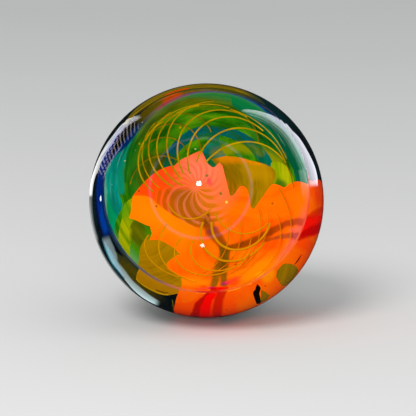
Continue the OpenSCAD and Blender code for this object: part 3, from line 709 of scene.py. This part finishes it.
set_material("green_ground", green_ground())
set_material("teal_arc", teal_arc())
set_material("left_teal", left_teal())
set_material("right_teal", right_teal())
lime_glass = lime()
for node in ("left_lime", "right_lime"):
    set_material(node, lime_glass)
set_material("upper_petal", orange_glass("pink_orange_glass", near_eye))
set_material("left_petal", orange_glass("deep_orange_glass", left_fields, red_skin, lower_fields, near_eye,
                                        eye_vein_paint, lower_vein_paint))
set_material("right_petal", orange_glass("bright_orange_glass", red_skin, lower_fields, near_eye,
                                         eye_vein_paint, right_vein_paint))
set_material("lower_petal", orange_glass("orange_glass", red_skin, lower_fields, eye_vein_paint,
                                         right_vein_paint, lower_vein_paint))
set_material("amber_whorl", orange_glass("whorl_glass", left_fields, near_eye, eye_vein_paint))
set_material("eye_vein", orange_glass("brown_glass", left_fields, near_eye, eye_vein_paint, lower_vein_paint))
right_red = orange_glass("right_red_glass", red_skin, lower_fields, eye_vein_paint, right_vein_paint)
for node in ("right_vein", "right_flame"):
    set_material(node, right_red)
lower_red = orange_glass("lower_red_glass", red_skin, lower_fields, eye_vein_paint, lower_vein_paint)
for node in ("lower_vein", "lower_flame"):
    set_material(node, lower_red)
set_material("upper_amber", upper_amber())
set_material("lower_amber", lower_amber())
spot_glass = amber_spot()
for node in ("right_amber_spot", "lower_amber_spot"):
    set_material(node, spot_glass)
set_material("olive_band", olive_band())
set_material("red_dash", plain("rust_glass", (176, 64, 0), (204, 80, 0)))
set_material("blue_edge", blue_edge())
set_material("teal_sliver", plain("blue_teal_glass", (0, 60, 84), (0, 112, 130)))
set_material("violet_rim", rim())
set_material("dark_backing", dark_glass())
set_material("near_threads", thread("yellow_thread_glass", (156, 124, 0), (180, 144, 0), (190, 124, 0)))
set_material("far_threads", thread("fine_thread_glass", (120, 100, 0), (144, 118, 0), (206, 110, 0)))


# The clear glass

def clear_glass():
    """Clear glass that lets lamps and soft light through to the colours behind it."""
    mat = bpy.data.materials.new("clear_glass")
    mat.use_nodes = True
    p = Paint(mat.node_tree)
    glass = p.node("ShaderNodeBsdfPrincipled", {
        "Base Color": (0.985, 1.0, 0.995, 1), "Roughness": 0.0, "IOR": GLASS_IOR,
        "Transmission Weight": 1.0})
    path = p.tree.nodes.new("ShaderNodeLightPath")
    lets_by = p.math("MAXIMUM", path.outputs["Is Shadow Ray"], path.outputs["Is Diffuse Ray"])
    clear = p.node("ShaderNodeBsdfTransparent")
    p.node("ShaderNodeOutputMaterial", (p.node("ShaderNodeMixShader", (lets_by, glass, clear)),))
    return mat


def lathe(name, profile, count):
    """Turns a profile of (radius, height) round the face's axis into a closed mesh."""
    bm = bmesh.new()
    rings = []
    for radius, height in profile:
        if radius < 1e-9:
            rings.append([bm.verts.new((0, 0, height))])
        else:
            rings.append([bm.verts.new((radius * math.cos(2 * math.pi * i / count),
                                        radius * math.sin(2 * math.pi * i / count), height))
                          for i in range(count)])
    for a, b in zip(rings, rings[1:]):
        for i in range(count):
            j = (i + 1) % count
            corners = [a[i % len(a)], a[j % len(a)], b[j % len(b)], b[i % len(b)]]
            bm.faces.new(list(dict.fromkeys(corners)))
    bmesh.ops.recalc_face_normals(bm, faces=bm.faces)
    bmesh.ops.transform(bm, matrix=FACE_TURN, verts=bm.verts)
    mesh = bpy.data.meshes.new(name)
    bm.to_mesh(mesh)
    bm.free()
    piece = bpy.data.objects.new(name, mesh)
    bpy.context.scene.collection.objects.link(piece)
    return piece


# The clear glass reaches a hair into the colours behind it, so that no two surfaces coincide, and its
# back starts a little inside the seam
INTO = 0.00006
BACK_START = 0.996
CAP_STEPS, BACK_STEPS, ROUND = 90, 70, 288


def lens_profile():
    """The cap's outline from the top of the ball to the seam, then the bowl's from the seam to its middle."""
    cap = [SEAM_ANGLE * i / CAP_STEPS for i in range(CAP_STEPS + 1)]
    profile = [(BALL_R * math.sin(a), BALL_R * math.cos(a)) for a in cap]
    edge_angle = math.atan2(SEAM_R, BOWL_Z - SEAM_Z)
    for i in range(BACK_STEPS + 1):
        a = edge_angle * (1 - i / BACK_STEPS)
        inward = BACK_START if i == 0 else 1
        profile.append(((BOWL_R + INTO) * math.sin(a) * inward, BOWL_Z - (BOWL_R + INTO) * math.cos(a)))
    return profile


def clear_lens():
    """The lens, smooth but for the seam's edge."""
    lens = lathe("lens_glass", lens_profile(), ROUND)
    for face in lens.data.polygons:
        face.use_smooth = True
    to_face = FACE_TURN.inverted()
    at_seam = {v.index for v in lens.data.vertices if abs((to_face @ v.co).z - SEAM_Z) < 1e-6}
    for edge in lens.data.edges:
        edge.use_edge_sharp = edge.vertices[0] in at_seam and edge.vertices[1] in at_seam
    lens.data.materials.append(clear_glass())
    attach(lens, "root")
    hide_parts("clear_lens")


clear_lens()


# Floor, light and camera: the floor's radius, and how far it lies under the ball
FLOOR_R = 3.0
FLOOR_GAP = 0.0001


def stage():
    bm = bmesh.new()
    bmesh.ops.create_circle(bm, cap_ends=True, segments=96, radius=FLOOR_R)
    mesh = bpy.data.meshes.new("floor")
    bm.to_mesh(mesh)
    bm.free()
    floor = bpy.data.objects.new("floor", mesh)
    floor.location.z = -BALL_R - FLOOR_GAP
    bpy.context.scene.collection.objects.link(floor)
    mat = bpy.data.materials.new("floor_paint")
    mat.use_nodes = True
    p = Paint(mat.node_tree)
    place = p.node("ShaderNodeTexCoord", out="Object")
    tone = p.step(p.noise(place, 6.0, 3), 0.3, 0.7)
    colour = p.mix(p.times(tone, 0.3), (206, 206, 204), (200, 200, 199))
    shader = p.node("ShaderNodeBsdfDiffuse", {"Color": colour})
    p.node("ShaderNodeOutputMaterial", (shader,))
    floor.data.materials.append(mat)
    floor.visible_glossy = False


# Places in the photograph along what the glass reflects, in pixels
LAMP_OUTER = ((317, 185), (315.5, 172), (307, 152), (295, 134), (280, 121), (262, 113), (242, 111))
LAMP_INNER = ((310, 190), (305.5, 172), (296, 151), (281.5, 130), (266, 119), (244, 112.4))
LAMP_FAINT = ((301, 190), (298, 172), (289, 154), (274, 135), (258, 122), (243, 113.5))
CORNER_INNER = ((303, 208), (300, 190), (296.5, 171), (290, 160))
CORNER_OUTER = ((309, 208), (307, 188), (302, 168), (295, 158))
WINDOW_EDGE = ((139, 116.5), (125, 122.5), (112.5, 137), (102, 153), (94.5, 170), (90.5, 185),
               (89.8, 195), (90.4, 212), (93, 228))
WINDOW_SILL = ((141, 119.5), (128, 127), (117, 138.5), (108, 152), (100, 168), (95, 180), (93, 193),
               (93, 205), (95.5, 226))
WINDOW_SEAM = ((142, 128), (133, 137), (120, 151), (112, 163), (105, 178))
STREAK_FAR = ((103.7, 239.3), (107.5, 250), (113, 262), (119, 270), (125, 278), (135, 290.5),
              (145, 298.5), (158, 305))
STREAK_NEAR = ((112, 240), (116.5, 250), (120.5, 262), (126, 270), (133, 279.5), (143, 288.5),
               (152, 295.5), (161, 301))
RING_LAMP = (200, 187)
# The round lamps: their places, radii and soft edges in degrees, strengths and colours
ROUND_LAMPS = (
    ((199, 184), 2.2, 0.8, 60.0, (255, 250, 246)),
    ((202.5, 244.5), 1.7, 0.9, 26.0, (255, 224, 224)),
    ((101.5, 198.5), 1.0, 0.6, 20.0, (255, 255, 255)))
# The range of angles off the camera's direction that curves of the reflected edges cover
OFF_LOW, OFF_HIGH = 60, 180
# The blinds of the window: degrees from slat to slat, and how far they lean with the angle
SLAT_PITCH = 2.9
SLAT_LEAN = 0.265


def reflected(px, py):
    """Direction whose reflection shows at a place of the photograph: angle off the camera's, and bearing."""
    dx, dy = (px - BALL_PX[0]) / BALL_R_PX, (BALL_PX[1] - py) / BALL_R_PX
    return 2 * math.degrees(math.asin(min(1, math.hypot(dx, dy)))), math.degrees(math.atan2(dy, dx))


def direction(px, py):
    off, bearing = (math.radians(v) for v in reflected(px, py))
    sideways = math.cos(bearing) * VIEW_RIGHT + math.sin(bearing) * VIEW_UP
    return math.cos(off) * VIEW_DIR + math.sin(off) * sideways


class Room(Paint):
    """The dark room with lamps that mirror-like reflections see.

    off is how far a direction is from the camera's, clock is its bearing as the camera sees it, and
    left_clock is the same counted from the left, all in degrees.
    """

    def __init__(self, tree):
        super().__init__(tree)
        self.way = self.vector("NORMALIZE", self.node("ShaderNodeTexCoord", out="Generated"))
        self.off = self.degrees_from(VIEW_DIR)
        right, up = self.dot(self.way, VIEW_RIGHT), self.dot(self.way, VIEW_UP)
        self.clock = self.times(self.math("ARCTAN2", up, right), TO_DEGREES)
        self.left_clock = self.times(self.math("ARCTAN2", self.times(up, -1), self.times(right, -1)),
                                     TO_DEGREES)
        self.light = (0.010, 0.012, 0.014)

    def degrees_from(self, axis):
        return self.times(self.math("ARCCOSINE", self.dot(self.way, axis)), TO_DEGREES)

    def between(self, low, high, soft):
        """1 where off is between two curves."""
        return self.times(self.step(self.math("SUBTRACT", self.off, low), -soft, soft),
                          self.step(self.math("SUBTRACT", high, self.off), -soft, soft))

    def edge(self, places, left=False):
        """off as a curve over the bearing, through places of the photograph, and the bearings it spans."""
        start = 360 if left else 180
        points = sorted(((bearing + start) % 360 - 180, off)
                        for off, bearing in (reflected(*place) for place in places))
        curve = self.curve(self.left_clock if left else self.clock, points, OFF_LOW, OFF_HIGH)
        return curve, points[0][0], points[-1][0]

    def lamp(self, tint, strength, *shares):
        """Adds a lamp whose strength is multiplied by each of its shares."""
        for share in shares:
            strength = self.times(share, strength)
        lit = self.node("ShaderNodeVectorMath", {0: linear(tint)[:3], "Scale": strength}, operation="SCALE")
        self.light = self.vector("ADD", lit, self.light)


def right_lamp(room):
    """The wide lamp on the right: a bright outer strip, grey lines, and a faint band with a corner."""
    outer, start, end = room.edge(LAMP_OUTER)
    inner, _, _ = room.edge(LAMP_INNER)
    faint, _, _ = room.edge(LAMP_FAINT)
    arc = room.band(room.clock, start, end, 1.2)
    room.lamp((240, 240, 252), 4.4, room.between(inner, outer, 0.6), arc)
    inward = room.math("SUBTRACT", inner, room.off)
    lines = room.math("MULTIPLY_ADD", room.math("SINE", room.times(inward, 1.5)), 0.35, 0.65)
    room.lamp((226, 236, 240), 3.6, room.between(faint, inner, 1.0), arc, lines, room.step(inward, 14, 0))
    corner_in, _, _ = room.edge(CORNER_INNER)
    corner_out, _, _ = room.edge(CORNER_OUTER)
    corner = room.times(room.step(room.clock, 18.6, 17.4), room.step(room.clock, -3, 14))
    room.lamp((226, 240, 240), 1.5, corner, room.between(corner_in, corner_out, 0.8))


def left_window(room):
    """The window on the left: a band with strips, bright at its upper end, and blinds inside it."""
    clock = room.left_clock
    outer, start, end = room.edge(WINDOW_EDGE, left=True)
    sill, _, _ = room.edge(WINDOW_SILL, left=True)
    seam, _, _ = room.edge(WINDOW_SEAM, left=True)
    across = room.math("DIVIDE", room.math("SUBTRACT", room.off, sill), room.math("SUBTRACT", outer, sill))
    strips = room.math("MULTIPLY_ADD", room.math("COSINE", room.times(across, 6 * math.pi)), 0.2, 0.8)
    bright = room.math("MULTIPLY_ADD", room.step(clock, -1.5, -3.5), 2.7, 0.45)
    room.lamp((250, 250, 250), bright, room.between(sill, outer, 1.0), room.band(clock, start, end + 6, 1.5),
              strips)
    slats = room.times(room.add(clock, room.times(room.off, SLAT_LEAN)), 2 * math.pi / SLAT_PITCH)
    room.lamp((236, 222, 214), 1.6, room.step(room.math("SINE", slats), 0.1, 0.8),
              room.between(seam, sill, 1.0), room.band(clock, -48, -14, 2))
    room.lamp((220, 226, 240), 1.4, room.between(room.add(seam, -1), room.add(seam, 2), 0.8),
              room.band(clock, -32, -12, 1))


def lower_streak(room):
    """The pale streak at the lower left, and the thin line along the edge of the ball above it."""
    far, start, end = room.edge(STREAK_FAR, left=True)
    near, _, _ = room.edge(STREAK_NEAR, left=True)
    room.lamp((196, 222, 226), 2.6, room.between(near, far, 2.0),
              room.band(room.left_clock, start, end - 1, 2.0))
    room.lamp((220, 230, 230), 0.5, room.step(room.off, 156, 162), room.band(room.left_clock, 2, 48, 6))


def small_lamps(room):
    """The ring lamp in front, whose reflection is faint and violet, and the round lamps."""
    ring = room.band(room.degrees_from(direction(*RING_LAMP)), 48.4, 51.0, 1.5)
    room.lamp((186, 160, 255), 1.5, ring)
    for place, radius, soft, strength, tint in ROUND_LAMPS:
        away = room.degrees_from(direction(*place))
        room.lamp(tint, strength, room.step(away, radius + soft, radius - soft))


def world():
    """A soft even dome. Mirror-like reflections see the room with its lamps instead."""
    w = bpy.data.worlds.new("world")
    bpy.context.scene.world = w
    w.use_nodes = True
    room = Room(w.node_tree)
    for add_lamps in (right_lamp, left_window, lower_streak, small_lamps):
        add_lamps(room)
    path = room.tree.nodes.new("ShaderNodeLightPath")
    mirror = room.math("MAXIMUM", path.outputs["Is Glossy Ray"], path.outputs["Is Transmission Ray"])
    dome = room.node("ShaderNodeBackground", {"Color": (0.96, 0.98, 1.0, 1), "Strength": 0.72})
    seen = room.node("ShaderNodeBackground", {"Color": room.light, "Strength": 1.0})
    pale = room.node("ShaderNodeBackground", {"Color": linear((226, 226, 226)), "Strength": 1.0})
    shader = room.node("ShaderNodeMixShader", (mirror, dome, seen))
    shader = room.node("ShaderNodeMixShader", (path.outputs["Is Camera Ray"], shader, pale))
    room.node("ShaderNodeOutputWorld", (shader,))


def area_lamp(name, place, size, watts):
    """A round lamp that shines at the middle of the ball."""
    data = bpy.data.lights.new(name, "AREA")
    data.shape = "DISK"
    data.size = size
    data.energy = watts
    lamp = bpy.data.objects.new(name, data)
    lamp.location = place
    lamp.rotation_euler = (-Vector(place)).to_track_quat("-Z", "Y").to_euler()
    lamp.visible_glossy = False
    bpy.context.scene.collection.objects.link(lamp)


def camera():
    data = bpy.data.cameras.new("camera")
    focal_px = BALL_R_PX * math.sqrt(CAMERA_D ** 2 - BALL_R ** 2) / BALL_R
    data.sensor_width = SENSOR_MM
    data.lens = focal_px * SENSOR_MM / PHOTO_PX
    data.shift_x = (PHOTO_PX / 2 - BALL_PX[0]) / PHOTO_PX
    data.shift_y = (BALL_PX[1] - PHOTO_PX / 2) / PHOTO_PX
    data.clip_start = 0.01
    view = bpy.data.objects.new("camera", data)
    view.location = VIEW_DIR * CAMERA_D
    view.rotation_euler = (-VIEW_DIR).to_track_quat("-Z", "Y").to_euler()
    bpy.context.scene.collection.objects.link(view)
    bpy.context.scene.camera = view


stage()
world()
area_lamp("key_lamp", (-0.25, -0.45, 0.55), 0.35, 3.5)
area_lamp("front_lamp", (0.05, -0.5, 0.05), 0.25, 1.4)
camera()
bpy.context.scene.view_settings.view_transform = "Standard"
